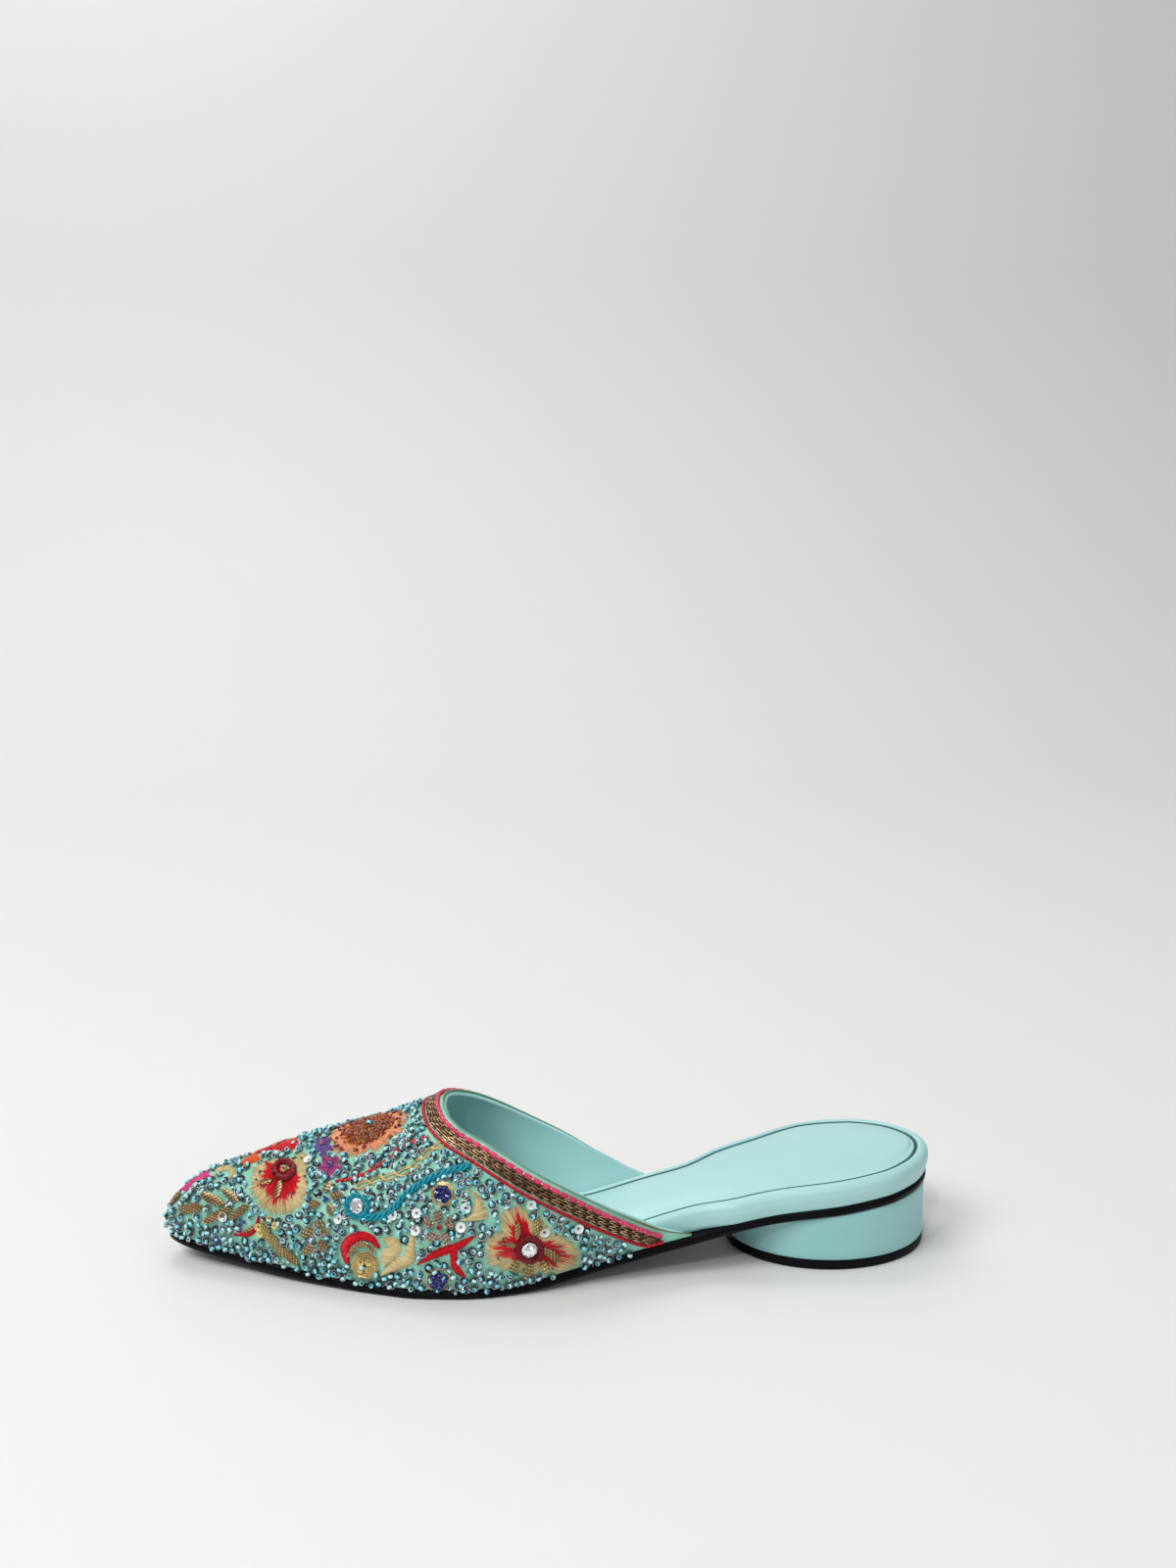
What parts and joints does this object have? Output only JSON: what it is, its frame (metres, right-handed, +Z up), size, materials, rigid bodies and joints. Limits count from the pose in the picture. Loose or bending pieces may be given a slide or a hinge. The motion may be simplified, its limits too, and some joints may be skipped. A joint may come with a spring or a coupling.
{
  "type": "mule shoe",
  "caption": "Left mule with a pointed closed toe, open back, low oval heel, thin outsole, rolled-edge footbed and beaded fabric upper with a braided collar.",
  "frame": {"origin": "on the floor under the middle of the heel", "axes": "+X from the toe to the heel's back, -X towards the toe, -Y the outer side of this left shoe, +Y the inner side, +Z up"},
  "size_m": [0.2724, 0.0768, 0.0562],
  "materials": {
    "outsole": "smooth black, slightly glossy edge",
    "top_lift": "black, satin",
    "heel_cover": "turquoise, fine grain, satin",
    "footbed_cover": "turquoise, fine grain, satin",
    "sock_lining": "turquoise, fine grain, satin",
    "upper_fabric": "mint silk under glass beads, cup sequins and thread embroidery",
    "braid": "couched metal thread chain between two silk cords"
  },
  "bodies": {
    "root": {"outsole": "outsole", "top_lift": "top_lift", "heel_block": "heel_cover", "footbed": "footbed_cover", "sock": "sock_lining", "upper": "upper_fabric", "collar_braid": "braid"}
  },
  "joints": []
}
